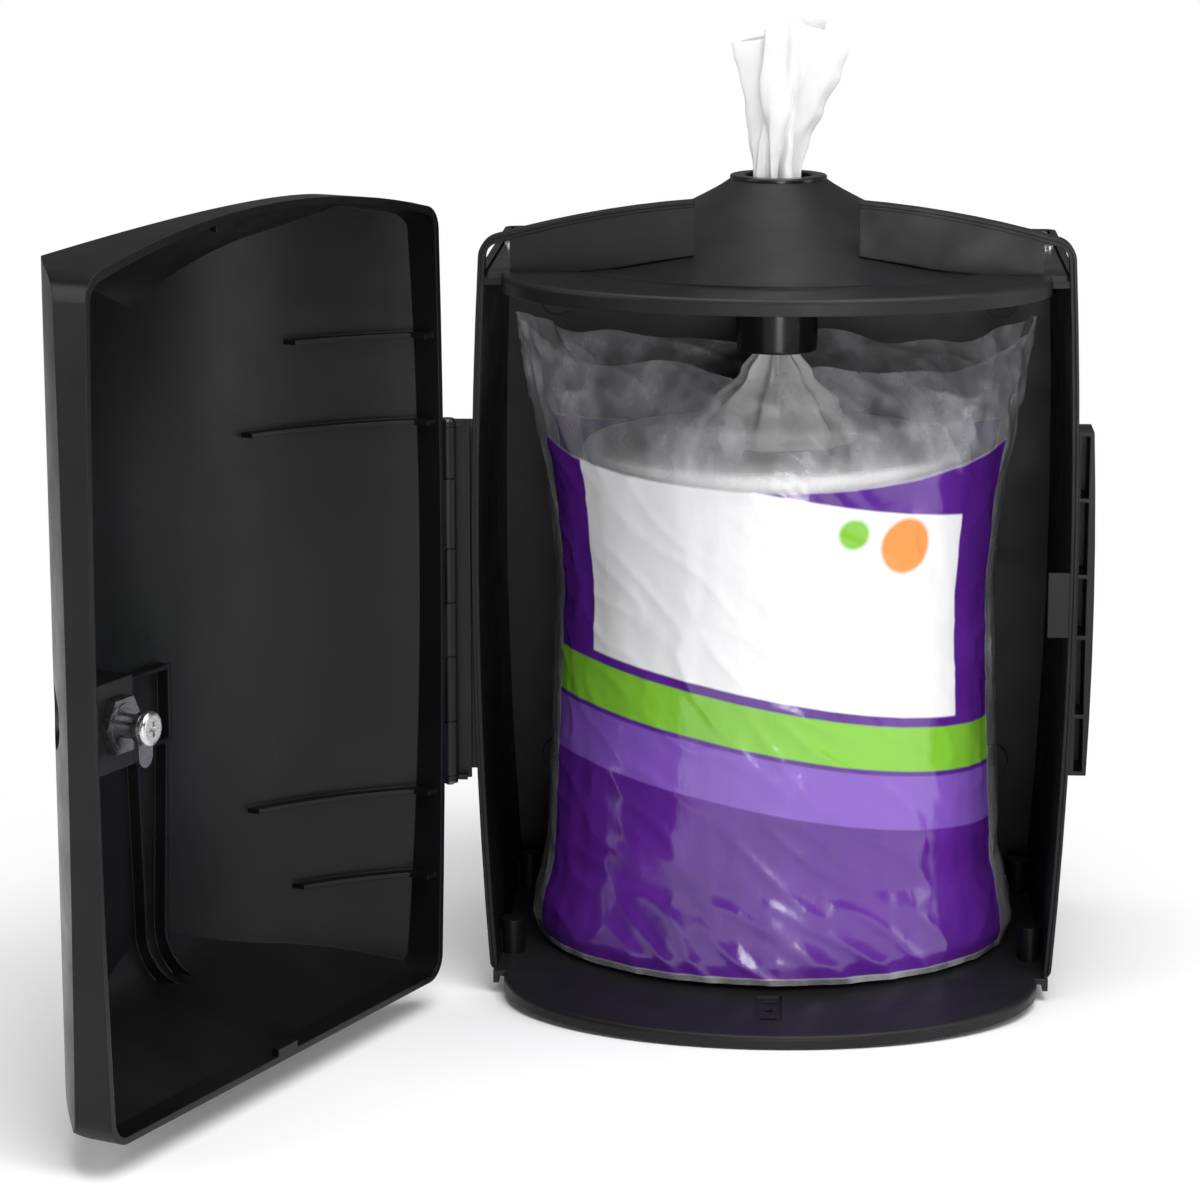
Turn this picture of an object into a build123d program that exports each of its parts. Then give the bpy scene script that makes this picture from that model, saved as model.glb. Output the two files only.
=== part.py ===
"""Wall-mounted centre-pull wipes dispenser, door open, refill in place.

Millimetres. +Z is up, the wall is the plane y = 0 and the front looks towards -Y.
The origin is the centre of the four wall holes. The door pieces are drawn closed
and then swung open about the hinge pin.
"""
import os
from math import atan, sqrt, tan

from build123d import *

os.makedirs("parts", exist_ok=True)

# Rear housing, the shell that screws to the wall
housing_depth = 150.0
housing_wall = 2.6
back_wall = 3.0
half_width_mid = 119.0
top_draw_in = 3.5
bottom_draw_in = 6.5
head_room = 89.2
arch_rise = 17.0
housing_bottom = -153.0
top_corner_radius = 9.0
bottom_corner_radius = 4.0
back_edge_radius = 5.0
rim_lip = 1.2
rim_step = 1.4
rim_band = 8.0

# Four holes for the wall screws
wall_hole_spacing_x = 188.0
wall_hole_spacing_z = 200.0
wall_hole_radius = 2.6
wall_boss_radius = 7.0
wall_boss_height = 2.5

# Refill: roll of wipes in a film bag, pulled from its centre
roll_radius = 79.0
roll_height = 194.0
roll_core_radius = 20.0
roll_core_depth = 60.0
roll_back_gap = 2.0
film = 0.8
bag_half_width = 91.8
bag_gap = 0.6
bag_mouth_half_width = 104.0
bag_mouth_half_depth = 46.0
bag_shoulder = 8.0
bag_mouth_height = 48.0

# Top hood, a broad bell with the nozzle at its apex
hood_set_down = 12.5
hood_wall = 2.4
hood_side_gap = 0.8
hood_front_draw_in = 9.0
hood_reach = 57.0
hood_droop = 2.0
hood_lip = 6.5
bell_height = 29.9
bell_apex_radius = 19.5
bell_foot_radius = 100.0
bell_shoulder = (33.0, 22.0)
bell_flank = (50.0, 13.4)
bell_skirt = (70.0, 6.3)
notch_half_width = 32.0

# Nozzle tube and the ring that holds it
nozzle_outer_radius = 16.5
nozzle_bore_radius = 13.3
nozzle_flange = 1.8
nozzle_length = 71.0
nozzle_clearance = 0.3
ring_height = 3.5
ring_radius = 18.0

# Base tray under the housing
tray_side_gap = 1.0
tray_front_draw_in = 5.5
tray_reach = 66.0
tray_droop = 4.0
tray_lip = 5.0
tray_wall = 2.2
seat_height = 12.0
seat_margin = 1.0
pocket_width = 10.0
pocket_length = 26.0
pocket_depth = 1.0

# Side flanges with five open cells, one each side so that the door can hang on either
flange_width = 7.0
flange_depth = 20.0
flange_half_height = 69.0
flange_set_back = 2.0
cell_walls_z = (42.0, 11.5, -13.0, -45.0)
cell_wall = 1.6

# Hinge on the left
pin_out = 9.0
pin_ahead = 4.0
pin_radius = 1.6
pin_running_clearance = 0.06
knuckle_radius = 3.4
knuckle_gap = 0.3
bracket_half_height = 72.4
bracket_plate = 2.0
hinge_web = 2.6
knuckle_cuts = (70.4, 49.85, 21.85, 0.15, -21.65, -48.15, -70.4)
pin_head_radius = 2.9
pin_head = 1.2
clip_radius = 3.3
clip_thickness = 0.9

# Front door
rim_gap = 0.4
door_wall = 2.6
door_depth = 66.0
door_side_wall = 11.0
door_top_draw_in = 2.5
door_bottom_draw_in = 4.5
door_top_overhang = 14.0
door_arch_overhang = 11.0
door_bottom_gap = 3.0
door_corner_radius = 10.0
door_slope = 0.465
brow_radius = 26.0
door_spare = 4.0
rib_height = 5.0
rib_thickness = 1.8
rib_reach = 62.0
short_rib_reach = 44.0
open_angle = 115.0

# Cam lock at the free edge of the door
lock_inset = 21.0
barrel_radius = 8.0
barrel_clearance = 0.15
barrel_flange_radius = 10.5
barrel_flange = 2.4
lock_face = 20.5
lock_well_radius = 11.6
lock_block_half_height = 16.0
lock_block_width = 29.0
lock_block_rear = 5.0
barrel_rear = 1.5
nut_thickness = 3.0
nut_flats = 19.0
plug_radius = 5.94
plug_bore_radius = 6.0
post_radius = 4.4
post_square = 5.2
cam_length = 14.0
cam_half_width = 4.2
cam_thickness = 2.0
cam_back = 4.4
cam_washer_radius = 5.6
cam_washer = 0.8
cam_screw_head_radius = 6.2
cam_screw_head = 2.6
cam_screw_radius = 1.6
cam_screw_length = 9.0
strike_reach = 8.4
strike_half_height = 13.0
strike_set_back = 1.6
strike_thickness = 2.0

# Small screws that hold the hood and the tray
screw_radius = 1.6
screw_head_radius = 3.4
screw_head = 2.0
screw_length = 11.0
boss_radius = 5.0
boss_height = 14.0

# Wipe that stands out of the nozzle
wipe_neck_radius = 8.5
wipe_cone_radius = 34.0
wipe_thickness = 3.0
wipe_cone_height = 42.0
wipe_cone_bend = 20.0
wipe_stand = 65.6

# Lesser sizes
rail_width = 6.0
rail_height = 3.0
hood_lip_radius = 2.0
screw_clearance = 0.25
hood_screw_depths = (28.0, 72.0)
tray_screw_depths = (24.0, 122.0)
tray_lip_radius = 1.8
tray_rib = 1.8
end_plate_inset = 2.0
hook_depth = 8.0
hook_clearance = 0.4
long_rib_z = 74.0
short_rib_z = 108.0
frame_size = 25.0
frame_z = -22.0
channel_foot_z = -126.0
top_tab_x = 32.0
tab_width = 10.0
tab_height = 4.0
tab_depth = 3.0

# Places that follow from the sizes above
rim_y = -housing_depth
half_width_top = half_width_mid - top_draw_in
half_width_bottom = half_width_mid - bottom_draw_in
roll_y = -(back_wall + roll_back_gap + film + roll_radius)
tray_top = housing_bottom
seat_top = tray_top + seat_height
bag_floor = seat_top
roll_bottom = bag_floor + film
roll_top = roll_bottom + roll_height
housing_top = roll_top + head_room
housing_arch = housing_top + arch_rise
hood_plate_top = housing_top - hood_set_down
bell_apex_z = hood_plate_top + bell_height
wipe_top = bell_apex_z + wipe_stand
hood_front_half_width = half_width_top - hood_front_draw_in
tray_half_width = half_width_bottom - tray_side_gap
tray_front_half_width = half_width_bottom - tray_front_draw_in
flange_out = half_width_mid + flange_width
pin_x = -(half_width_mid + pin_out)
end_plate_inner = -(half_width_mid + end_plate_inset)
door_half_mid = half_width_mid
door_half_top = door_half_mid - door_top_draw_in
door_half_bottom = door_half_mid - door_bottom_draw_in
door_top = housing_top + door_top_overhang
door_arch = housing_arch + door_arch_overhang
door_bottom = housing_bottom + door_bottom_gap
lock_x = door_half_mid - lock_inset
pin_y = rim_y - pin_ahead
door_rim_y = rim_y - rim_gap
far = 400.0


def outline(half_mid, half_top, half_bottom, z_top, z_arch, z_bottom):
    """Barrel-sided front outline with an arched top."""
    with BuildSketch() as face:
        with BuildLine():
            ThreePointArc((-half_bottom, z_bottom), (-half_mid, 0), (-half_top, z_top))
            ThreePointArc((-half_top, z_top), (0, z_arch), (half_top, z_top))
            ThreePointArc((half_top, z_top), (half_mid, 0), (half_bottom, z_bottom))
            Line((half_bottom, z_bottom), (-half_bottom, z_bottom))
        make_face()
    return face.sketch


def housing_outline(inset=0.0):
    """Outline of the rear housing, moved in by inset."""
    return outline(
        half_width_mid - inset,
        half_width_top - inset,
        half_width_bottom - inset,
        housing_top - inset,
        housing_arch - inset,
        housing_bottom + inset,
    )


def arch_height(x, z_corner, z_mid, half):
    """Height of a circular arch at x."""
    rise = z_mid - z_corner
    radius = (half * half + rise * rise) / (2 * rise)
    return z_mid - radius + sqrt(radius * radius - x * x)


def swing_open(shape):
    """Turn a closed door piece about the hinge pin to where the door stands."""
    opened = shape.rotate(Axis((pin_x, pin_y, 0), (0, 0, 1)), -open_angle)
    opened.label = shape.label
    return opened


# Screw places, shared by the housing and what it carries
housing_inner_top = half_width_top - housing_wall
housing_inner_bottom = half_width_bottom - housing_wall
hood_screw_x = housing_inner_top - boss_radius
tray_screw_x = housing_inner_bottom - boss_radius + 0.6
rail_top = hood_plate_top - hood_wall
hood_screw_places = [(side * hood_screw_x, -depth) for side in (-1, 1) for depth in hood_screw_depths]
tray_screw_places = [(side * tray_screw_x, -depth) for side in (-1, 1) for depth in tray_screw_depths]
flange_inner = half_width_mid - 0.7 * housing_wall
flange_front = housing_depth - flange_set_back
cell_inner = half_width_mid + 0.6
cell_outer = flange_out - cell_wall
cell_depth = flange_depth - cell_wall
cell_edges = (flange_half_height, *cell_walls_z, -flange_half_height)
cells = [(low + cell_wall / 2, high - cell_wall / 2) for high, low in zip(cell_edges, cell_edges[1:])]
cells[0] = (cells[0][0], flange_half_height - cell_wall)
cells[-1] = (cell_wall - flange_half_height, cells[-1][1])


# Rear housing
with BuildPart() as rear_housing:
    with BuildSketch(Plane.XZ) as housing_face:
        add(housing_outline())
        fillet(housing_face.vertices().group_by(Axis.Y)[-1], top_corner_radius)
        fillet(housing_face.vertices().group_by(Axis.Y)[0], bottom_corner_radius)
    extrude(amount=housing_depth)
    back_edges = rear_housing.faces().sort_by(Axis.Y)[-1].edges()
    fillet(back_edges.filter_by(lambda edge: edge.center().Z > housing_bottom + 1), back_edge_radius)
    with BuildSketch(Plane.XZ.offset(back_wall)) as cavity_face:
        add(housing_outline(housing_wall))
        fillet(cavity_face.vertices().group_by(Axis.Y)[-1], top_corner_radius - housing_wall)
    extrude(amount=housing_depth, mode=Mode.SUBTRACT)
    # the tray closes the bottom, so the cavity runs out there
    with BuildSketch(Plane.XZ.offset(back_wall)):
        with Locations((0, housing_bottom)):
            Rectangle(2 * housing_inner_bottom, 4 * housing_wall)
    extrude(amount=housing_depth, mode=Mode.SUBTRACT)
    # thin outer lip that stands proud round the rim
    with BuildSketch(Plane.XZ.offset(housing_depth - rim_step)) as rim_face:
        add(housing_outline(rim_lip))
        fillet(rim_face.vertices().group_by(Axis.Y)[-1], top_corner_radius - rim_lip)
    extrude(amount=2 * rim_step, mode=Mode.SUBTRACT)
    # the hood is the roof, so behind the rim the walls end at its top face
    with BuildSketch(Plane.XY.offset(hood_plate_top)):
        with Locations((0, rim_y + rim_band + far / 2)):
            Rectangle(far, far)
    extrude(amount=far, mode=Mode.SUBTRACT)
    # the bell passes through a gap in the arched rim
    with BuildSketch(Plane.XZ.offset(housing_depth - 2 * rim_band)):
        with Locations((0, housing_top + far / 2)):
            RectangleRounded(2 * notch_half_width, far, 2)
    extrude(amount=3 * rim_band, mode=Mode.SUBTRACT)
    # rails that carry the hood, and bosses for the screws
    with BuildSketch(Plane.XY.offset(rail_top - rail_height)):
        for side in (-1, 1):
            with Locations((side * (housing_inner_top - rail_width / 2 + 1), rim_y / 2)):
                Rectangle(rail_width + 2, housing_depth - 2 * back_wall)
    extrude(amount=rail_height)
    with BuildSketch(Plane.XY.offset(rail_top - boss_height)):
        with Locations(*hood_screw_places):
            Circle(boss_radius)
    extrude(amount=boss_height)
    with BuildSketch(Plane.XY.offset(housing_bottom)):
        with Locations(*tray_screw_places):
            Circle(boss_radius)
    extrude(amount=boss_height)
    with BuildSketch(Plane.XY.offset(rail_top - screw_length)):
        with Locations(*hood_screw_places):
            Circle(screw_radius)
    extrude(amount=screw_length, mode=Mode.SUBTRACT)
    with BuildSketch(Plane.XY.offset(housing_bottom)):
        with Locations(*tray_screw_places):
            Circle(screw_radius)
    extrude(amount=screw_length, mode=Mode.SUBTRACT)
    # side flanges, the same on both sides, with five open cells each
    for side in (-1, 1):
        edge = side * (flange_out - 1.5)
        with BuildSketch(Plane.XZ.offset(flange_front - flange_depth)):
            with BuildLine():
                Line((side * flange_inner, -flange_half_height), (edge, -flange_half_height))
                ThreePointArc(
                    (edge, -flange_half_height), (side * flange_out, 0), (edge, flange_half_height)
                )
                Line((edge, flange_half_height), (side * flange_inner, flange_half_height))
                Line((side * flange_inner, flange_half_height), (side * flange_inner, -flange_half_height))
            make_face()
        extrude(amount=flange_depth)
        with BuildSketch(Plane.XZ.offset(flange_front - cell_depth)):
            for low, high in cells:
                with Locations((side * (cell_inner + cell_outer - 1.5) / 2, (low + high) / 2)):
                    Rectangle(cell_outer - 1.5 - cell_inner, high - low)
        extrude(amount=cell_depth, mode=Mode.SUBTRACT)
    # strike for the lock's cam, inside the right-hand wall
    with BuildSketch(Plane.XY.offset(-strike_half_height)):
        strike_front = rim_y + strike_set_back
        with BuildLine():
            Polyline(
                (half_width_mid - 0.5 * housing_wall, strike_front),
                (half_width_mid - housing_wall - strike_reach, strike_front),
                (half_width_mid - housing_wall - strike_reach, strike_front + strike_thickness),
                (half_width_mid - housing_wall - 1, strike_front + strike_thickness),
                (half_width_mid - 0.5 * housing_wall, strike_front + strike_thickness),
                close=True,
            )
        make_face()
    extrude(amount=2 * strike_half_height)
    # wall holes with their bosses
    with BuildSketch(Plane.XZ.offset(back_wall)):
        with GridLocations(wall_hole_spacing_x, wall_hole_spacing_z, 2, 2):
            Circle(wall_boss_radius)
    extrude(amount=wall_boss_height)
    with BuildSketch(Plane.XZ):
        with GridLocations(wall_hole_spacing_x, wall_hole_spacing_z, 2, 2):
            Circle(wall_hole_radius)
    extrude(amount=back_wall + wall_boss_height, mode=Mode.SUBTRACT)

rear_housing.part.label = "rear_housing"
export_step(rear_housing.part, "parts/rear_housing.step")


# Top hood
hood_back_y = -(back_wall + 0.5)
hood_back_half = housing_inner_top - hood_side_gap
nozzle_hole_radius = nozzle_outer_radius + nozzle_clearance
hood_slope = hood_droop / hood_reach


def sloping_front(half_width, reach, z_top, slope, thickness, edge_radius=0.0):
    """Half an elliptical plate ahead of the rim, sloping down from z_top, rounded above."""
    rear = reach + 10
    with BuildPart() as plate:
        with BuildSketch(Plane.XY.offset(z_top - far / 4)):
            with Locations((0, rim_y)):
                Ellipse(half_width, reach)
        extrude(amount=far / 2)
        with BuildSketch(Plane.YZ.offset(-far / 2)):
            with BuildLine():
                Polyline(
                    (rim_y + rear, z_top + slope * rear),
                    (rim_y - rear, z_top - slope * rear),
                    (rim_y - rear, z_top - slope * rear - thickness),
                    (rim_y + rear, z_top + slope * rear - thickness),
                    close=True,
                )
            make_face()
        extrude(amount=far, mode=Mode.INTERSECT)
        if edge_radius:
            fillet(plate.faces().sort_by(Axis.Z)[-1].edges(), edge_radius)
        with BuildSketch(Plane.XZ.offset(-rim_y)):
            Rectangle(far, 2 * far)
        extrude(amount=-far, mode=Mode.SUBTRACT)
    return plate.part


def bell_form(inset):
    """Bell as a solid, from its apex down to the foot, moved in by inset."""
    foot = bell_foot_radius - 2 * inset
    low = hood_plate_top - inset
    points = [(radius - 0.5 * inset, low + rise) for radius, rise in (bell_skirt, bell_flank, bell_shoulder)]
    apex = (bell_apex_radius - 0.4 * inset, bell_apex_z - inset)
    with BuildPart() as form:
        with BuildSketch(Plane.XZ.offset(-roll_y)):
            with BuildLine():
                Spline((foot, low), *points, apex, tangents=[(-1, 0), (-1, 0.75)])
                Polyline(apex, (0, apex[1]), (0, rail_top - inset), (foot, rail_top - inset), (foot, low))
            make_face()
        revolve(axis=Axis((0, roll_y, 0), (0, 0, 1)))
        # the bell is cut off at the back of the hood
        with BuildSketch(Plane.XY.offset(rail_top - inset)):
            with Locations((0, hood_back_y - inset + far / 2)):
                Rectangle(far, far)
        extrude(amount=far, mode=Mode.SUBTRACT)
    return form.part


with BuildPart() as top_hood:
    with BuildSketch(Plane.XY.offset(rail_top)):
        with Locations((0, (hood_back_y + rim_y) / 2)):
            Rectangle(2 * hood_back_half, hood_back_y - rim_y)
    extrude(amount=hood_wall)
    add(
        sloping_front(
            hood_front_half_width, hood_reach, hood_plate_top, hood_slope, hood_lip, hood_lip_radius
        )
    )
    add(
        sloping_front(
            hood_front_half_width - hood_wall,
            hood_reach - hood_wall,
            hood_plate_top - hood_wall,
            hood_slope,
            hood_lip,
        ),
        mode=Mode.SUBTRACT,
    )
    add(bell_form(0))
    add(bell_form(hood_wall), mode=Mode.SUBTRACT)
    with BuildSketch(Plane.XY.offset(rail_top)):
        with Locations((0, roll_y)):
            Circle(nozzle_hole_radius)
    extrude(amount=far, mode=Mode.SUBTRACT)
    with BuildSketch(Plane.XY.offset(rail_top)):
        with Locations(*hood_screw_places):
            Circle(screw_radius + screw_clearance)
    extrude(amount=2 * hood_wall, mode=Mode.SUBTRACT)

top_hood.part.label = "top_hood"
export_step(top_hood.part, "parts/top_hood.step")


# Nozzle tube, a flanged insert dropped through the apex
with BuildPart() as nozzle_tube:
    with BuildSketch(Plane.XY.offset(bell_apex_z + nozzle_flange - nozzle_length)):
        with Locations((0, roll_y)):
            Circle(nozzle_outer_radius)
    extrude(amount=nozzle_length)
    with BuildSketch(Plane.XY.offset(bell_apex_z)):
        with Locations((0, roll_y)):
            Circle(bell_apex_radius)
    extrude(amount=nozzle_flange)
    with BuildSketch(Plane.XY.offset(bell_apex_z + nozzle_flange - nozzle_length)):
        with Locations((0, roll_y)):
            Circle(nozzle_bore_radius)
    extrude(amount=nozzle_length, mode=Mode.SUBTRACT)
    fillet(nozzle_tube.edges().group_by(Axis.Z)[-1], 0.45 * nozzle_flange)
    fillet(nozzle_tube.edges().group_by(Axis.Z)[0], 0.3 * (nozzle_outer_radius - nozzle_bore_radius))

nozzle_tube.part.label = "nozzle_tube"
export_step(nozzle_tube.part, "parts/nozzle_tube.step")

with BuildPart() as nozzle_ring:
    with BuildSketch(Plane.XY.offset(bell_apex_z - hood_wall - ring_height)):
        with Locations((0, roll_y)):
            Circle(ring_radius)
            Circle(nozzle_outer_radius, mode=Mode.SUBTRACT)
    extrude(amount=ring_height)
    chamfer(nozzle_ring.edges().group_by(Axis.Z)[0].sort_by(SortBy.RADIUS)[-1], 0.8)

nozzle_ring.part.label = "nozzle_ring"
export_step(nozzle_ring.part, "parts/nozzle_ring.step")


# Base tray
tray_back_y = -0.5
seat_radius = roll_radius + film + seat_margin
seat_front_y = rim_y + 1.4
pocket_y = rim_y - 0.55 * tray_reach

tray_slope = tray_droop / tray_reach

with BuildPart() as tray_pocket:
    with BuildSketch(Plane.XY.offset(tray_top - far / 4)):
        with Locations((0, pocket_y)):
            RectangleRounded(pocket_width, pocket_length, 1.5)
    extrude(amount=far / 2)
    add(
        sloping_front(tray_half_width, tray_reach, tray_top - pocket_depth, tray_slope, far),
        mode=Mode.SUBTRACT,
    )
    with BuildSketch(Plane.XY.offset(tray_top + 1)):
        Rectangle(far, 2 * far)
    extrude(amount=far, mode=Mode.SUBTRACT)

with BuildPart() as base_tray:
    with BuildSketch(Plane.XY.offset(tray_top - tray_lip)):
        with Locations((0, (tray_back_y + rim_y) / 2)):
            Rectangle(2 * tray_half_width, tray_back_y - rim_y)
    extrude(amount=tray_lip)
    add(
        sloping_front(
            tray_front_half_width, tray_reach, tray_top, tray_slope, tray_lip, tray_lip_radius
        )
    )
    # hollow beneath, behind the rim and ahead of it
    with BuildSketch(Plane.XY.offset(tray_top - tray_lip)):
        with Locations((0, (tray_back_y - tray_wall + rim_y) / 2)):
            Rectangle(2 * (tray_half_width - tray_wall), tray_back_y - tray_wall - rim_y)
    extrude(amount=tray_lip - tray_wall, mode=Mode.SUBTRACT)
    add(
        sloping_front(
            tray_front_half_width - tray_wall,
            tray_reach - tray_wall,
            tray_top - tray_wall,
            tray_slope,
            tray_lip,
        ),
        mode=Mode.SUBTRACT,
    )
    # raised seat for the roll, hollow beneath with two crossed ribs
    with BuildSketch(Plane.XY.offset(tray_top - tray_wall)):
        with Locations((0, roll_y)):
            Circle(seat_radius)
        with Locations((0, seat_front_y - far / 2)):
            Rectangle(far, far, mode=Mode.SUBTRACT)
    extrude(amount=seat_height + tray_wall)
    with BuildSketch(Plane.XY.offset(tray_top - 2 * tray_lip)):
        with Locations((0, roll_y)):
            Circle(seat_radius - tray_wall)
        with Locations((0, seat_front_y + tray_wall - far / 2)):
            Rectangle(far, far, mode=Mode.SUBTRACT)
        with Locations((0, roll_y)):
            Rectangle(far, tray_rib, mode=Mode.SUBTRACT)
            Rectangle(tray_rib, far, mode=Mode.SUBTRACT)
    extrude(amount=2 * tray_lip + seat_height - tray_wall, mode=Mode.SUBTRACT)
    add(tray_pocket.part, mode=Mode.SUBTRACT)
    with BuildSketch(Plane.XY.offset(tray_top - far / 4)):
        with Locations((0, pocket_y)):
            Circle(1.7)
        with Locations((0, pocket_y - 0.32 * pocket_length), (0, pocket_y + 0.32 * pocket_length)):
            Rectangle(0.6 * pocket_width, 2.4)
    extrude(amount=far / 4 + 1, mode=Mode.SUBTRACT)
    with BuildSketch(Plane.XY.offset(tray_top - tray_wall)):
        with Locations(*tray_screw_places):
            Circle(screw_radius + screw_clearance)
    extrude(amount=tray_wall, mode=Mode.SUBTRACT)

base_tray.part.label = "base_tray"
export_step(base_tray.part, "parts/base_tray.step")


# Screws of the hood and of the tray
with BuildPart() as hood_screws:
    with BuildSketch(Plane.XY.offset(rail_top - screw_length)):
        with Locations(*hood_screw_places):
            Circle(screw_radius)
    extrude(amount=screw_length + hood_wall)
    with BuildSketch(Plane.XY.offset(hood_plate_top)):
        with Locations(*hood_screw_places):
            Circle(screw_head_radius)
    extrude(amount=screw_head)

hood_screws.part.label = "hood_screws"
export_step(hood_screws.part, "parts/hood_screws.step")

with BuildPart() as tray_screws:
    with BuildSketch(Plane.XY.offset(tray_top - tray_wall)):
        with Locations(*tray_screw_places):
            Circle(screw_radius)
    extrude(amount=tray_wall + screw_length)
    with BuildSketch(Plane.XY.offset(tray_top - tray_wall - screw_head)):
        with Locations(*tray_screw_places):
            Circle(screw_head_radius)
    extrude(amount=screw_head)

tray_screws.part.label = "tray_screws"
export_step(tray_screws.part, "parts/tray_screws.step")


# Hinge bracket, hooked into the left flange
segments = [
    (low + knuckle_gap / 2, high - knuckle_gap / 2)
    for high, low in zip(knuckle_cuts, knuckle_cuts[1:])
]
fixed_segments = segments[0::2]
door_segments = segments[1::2]
bracket_outer = pin_x - knuckle_radius - 0.1
bracket_inner = -(half_width_mid + 0.6)
bracket_front = rim_y
bracket_back = -flange_front

with BuildPart() as hinge_bracket:
    with BuildSketch(Plane.XY.offset(-bracket_half_height)):
        with Locations(((bracket_outer + bracket_inner) / 2, (bracket_front + bracket_back) / 2)):
            Rectangle(bracket_inner - bracket_outer, bracket_back - bracket_front)
    extrude(amount=2 * bracket_half_height)
    for low, high in fixed_segments:
        with BuildSketch(Plane.XY.offset(low)):
            with Locations((pin_x, pin_y)):
                Circle(knuckle_radius)
            with Locations((pin_x, (pin_y + bracket_front) / 2)):
                Rectangle(hinge_web, bracket_front - pin_y)
        extrude(amount=high - low)
    # end plates with the pin holes
    for low in (bracket_half_height - bracket_plate, -bracket_half_height):
        with BuildSketch(Plane.XY.offset(low)):
            with Locations((pin_x, pin_y)):
                Circle(knuckle_radius)
            with Locations(((bracket_outer + end_plate_inner) / 2, (pin_y + bracket_front) / 2)):
                Rectangle(end_plate_inner - bracket_outer, bracket_front - pin_y)
        extrude(amount=bracket_plate)
    # hooks that sit in three of the cells
    with BuildSketch(Plane.XZ.offset(flange_front - hook_depth)):
        for low, high in cells[0::2]:
            with Locations((-(cell_inner + cell_outer - 1.5) / 2, (low + high) / 2)):
                Rectangle(cell_outer - 1.5 - cell_inner - 2 * hook_clearance, high - low - 2 * hook_clearance)
    extrude(amount=hook_depth)
    with BuildSketch(Plane.XY.offset(-bracket_half_height)):
        with Locations((pin_x, pin_y)):
            Circle(pin_radius)
    extrude(amount=2 * bracket_half_height, mode=Mode.SUBTRACT)

hinge_bracket.part.label = "hinge_bracket"
export_step(hinge_bracket.part, "parts/hinge_bracket.step")

with BuildPart() as hinge_pin:
    with BuildSketch(Plane.XY.offset(-bracket_half_height - 2 * clip_thickness)):
        with Locations((pin_x, pin_y)):
            Circle(pin_radius)
    extrude(amount=2 * bracket_half_height + 2 * clip_thickness)
    with BuildSketch(Plane.XY.offset(bracket_half_height)):
        with Locations((pin_x, pin_y)):
            Circle(pin_head_radius)
    extrude(amount=pin_head)
    fillet(hinge_pin.edges().group_by(Axis.Z)[-1], 0.5 * pin_head)

hinge_pin.part.label = "hinge_pin"
export_step(hinge_pin.part, "parts/hinge_pin.step")

with BuildPart() as pin_clip:
    with BuildSketch(Plane.XY.offset(-bracket_half_height - clip_thickness)):
        with Locations((pin_x, pin_y)):
            Circle(clip_radius)
            Circle(pin_radius, mode=Mode.SUBTRACT)
    extrude(amount=clip_thickness)

pin_clip.part.label = "pin_clip"
export_step(pin_clip.part, "parts/pin_clip.step")


# Refill: the roll, its bag and the wipe that is pulled up
with BuildPart() as wipes_roll:
    with BuildSketch(Plane.XY.offset(roll_bottom)):
        with Locations((0, roll_y)):
            Circle(roll_radius)
    extrude(amount=roll_height)
    with BuildSketch(Plane.XY.offset(roll_top - roll_core_depth)):
        with Locations((0, roll_y)):
            Circle(roll_core_radius)
    extrude(amount=roll_core_depth, mode=Mode.SUBTRACT)
    fillet(wipes_roll.edges().group_by(Axis.Z)[-1].sort_by(SortBy.RADIUS)[-1], 4)

wipes_roll.part.label = "wipes_roll"
export_step(wipes_roll.part, "parts/wipes_roll.step")


def bag_form(inset, floor, mouth):
    """Bag as a solid: an oval sleeve that flares to its mouth."""
    with BuildPart() as form:
        with BuildSketch(Plane.XY.offset(floor)):
            with Locations((0, roll_y)):
                Ellipse(bag_half_width - inset, roll_radius + bag_gap + film - inset)
        extrude(amount=roll_top + bag_shoulder - floor)
        with BuildSketch(Plane.XY.offset(roll_top + bag_shoulder)):
            with Locations((0, roll_y)):
                Ellipse(bag_half_width - inset, roll_radius + bag_gap + film - inset)
        with BuildSketch(Plane.XY.offset(mouth)):
            with Locations((0, roll_y)):
                Ellipse(bag_mouth_half_width - inset, bag_mouth_half_depth - inset)
        loft()
    return form.part


bag_mouth = roll_top + bag_mouth_height
with BuildPart() as refill_bag:
    add(bag_form(0, bag_floor, bag_mouth))
    add(bag_form(film, bag_floor + film, bag_mouth), mode=Mode.SUBTRACT)

refill_bag.part.label = "refill_bag"
export_step(refill_bag.part, "parts/refill_bag.step")

neck_top = bell_apex_z + nozzle_flange + 4


def folded_wipe(half_width, fold):
    """Cross-section of the standing wipe: one S fold."""
    with BuildSketch() as section:
        with BuildLine():
            ThreePointArc((-half_width, 0), (-half_width / 2, fold), (0, 0))
            ThreePointArc((0, 0), (half_width / 2, -fold), (half_width, 0))
            offset(amount=wipe_thickness / 2)
        make_face()
    return section.sketch


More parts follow.
